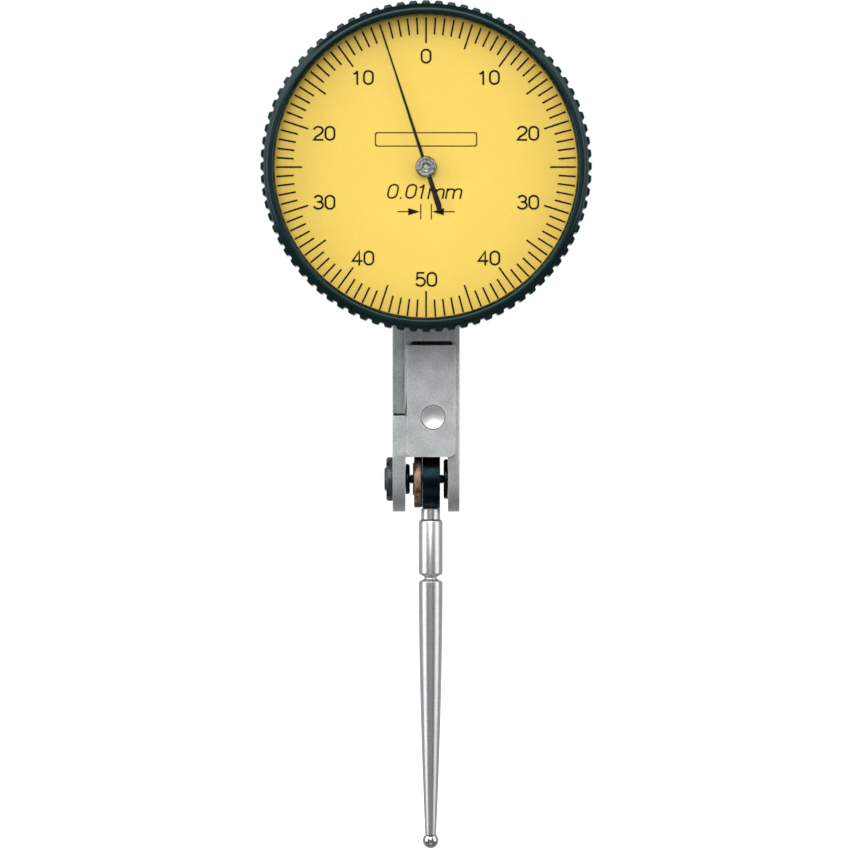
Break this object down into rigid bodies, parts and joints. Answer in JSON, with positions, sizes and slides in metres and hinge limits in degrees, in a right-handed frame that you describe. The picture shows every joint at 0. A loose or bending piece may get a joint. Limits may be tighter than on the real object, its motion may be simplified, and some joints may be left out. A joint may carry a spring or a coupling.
{
  "type": "dial test indicator",
  "caption": "Lever-type dial indicator: yellow dial in a black turning bezel, dovetailed steel frame and a long ball-tipped stylus that swings to drive the pointer.",
  "frame": {"origin": "centre of the flat outer face of the end dovetail, by which a holder grips the indicator", "axes": "+Z out of the end dovetail, away from the stylus; -Y the way the dial faces; +X to the right as the dial is read; the stylus hangs along -Z"},
  "size_m": [0.04, 0.0218, 0.1034],
  "materials": {
    "satin_chrome": "satin chrome plate over steel, fine grain",
    "polished_chrome": "polished",
    "black_anodised": "black anodised aluminium, half gloss",
    "blackened_steel": "black oxide on turned steel",
    "stylus_steel": "fine ground, nearly polished",
    "bright_steel": "polished turned steel",
    "spring_steel": "blued and drawn spring steel",
    "boss_metal": "turned, half gloss",
    "pointer_black": "black painted thin sheet",
    "copper_alloy": "turned copper alloy",
    "brass": "turned and polished",
    "ruby": "polished synthetic ruby",
    "dial_yellow": "printed matt yellow paint",
    "black_rubber": "matt",
    "crystal_glass": "clear"
  },
  "bodies": {
    "body": {"body_frame": "satin_chrome", "front_cover": "satin_chrome", "cover_screw": "polished_chrome", "lever_stop_pin_front": "bright_steel", "lever_stop_pin_back": "bright_steel", "dial_case": "satin_chrome", "case_screw_upper": "bright_steel", "case_screw_lower": "bright_steel", "bezel_friction_ring": "black_rubber", "bezel_retaining_wire": "spring_steel", "movement_bridge": "brass", "bridge_pillar_1": "brass", "bridge_pillar_2": "brass", "bridge_pillar_3": "brass", "bridge_screw_1": "bright_steel", "bridge_screw_2": "bright_steel", "bridge_screw_3": "bright_steel", "arbor_jewel_upper": "ruby", "arbor_jewel_lower": "ruby", "hairspring": "spring_steel", "hairspring_stud": "brass", "crown_jewel_left": "ruby", "crown_jewel_right": "ruby", "pivot_screw": "blackened_steel", "pivot_lock_nut": "blackened_steel", "pivot_bearing_left": "blackened_steel", "pivot_bearing_right": "blackened_steel"},
    "bezel": {"bezel_ring": "black_anodised", "dial_plate": "dial_yellow", "dial_snap_ring": "spring_steel", "dial_spacer_ring": "black_anodised", "crystal_gasket": "black_rubber", "crystal": "crystal_glass"},
    "lever": {"sector_lever": "copper_alloy", "pivot_axle": "blackened_steel", "lever_washer": "blackened_steel", "friction_washer": "blackened_steel", "clutch_spring": "spring_steel", "clutch_nut": "blackened_steel"},
    "stylus": {"stylus_holder": "blackened_steel", "stylus": "stylus_steel", "contact_ball": "polished_chrome"},
    "crown": {"crown_wheel": "brass", "crown_arbor": "bright_steel"},
    "pointer": {"pointer_hand": "pointer_black", "pointer_boss": "boss_metal", "pointer_arbor": "bright_steel", "hairspring_collet": "brass"}
  },
  "joints": [
    {"name": "bezel_turn", "type": "hinge", "parent": "body", "child": "bezel", "pos_m": [0, -0.012, -0.017], "axis": [0, 1, 0], "continuous": true},
    {"name": "stylus_swing", "type": "hinge", "parent": "body", "child": "lever", "pos_m": [0, 0, -0.0549], "axis": [-1, 0, 0], "range_deg": [-1.5, 1.5], "stiffness_Nm_per_rad": 0.34},
    {"name": "stylus_set", "type": "hinge", "parent": "lever", "child": "stylus", "pos_m": [0.00057, 0, -0.0549], "axis": [-1, 0, 0], "range_deg": [-100, 100]},
    {"name": "crown_spin", "type": "hinge", "parent": "body", "child": "crown", "pos_m": [0, -0.0021, -0.017], "axis": [1, 0, 0], "range_deg": [-55, 55]},
    {"name": "pointer_spin", "type": "hinge", "parent": "body", "child": "pointer", "pos_m": [0, -0.01, -0.017], "axis": [0, 1, 0], "range_deg": [-430, 430]}
  ],
  "couplings": [
    {"joint": "crown_spin", "follows": "stylus_swing", "ratio": 34.25},
    {"joint": "pointer_spin", "follows": "stylus_swing", "ratio": 279.71}
  ]
}
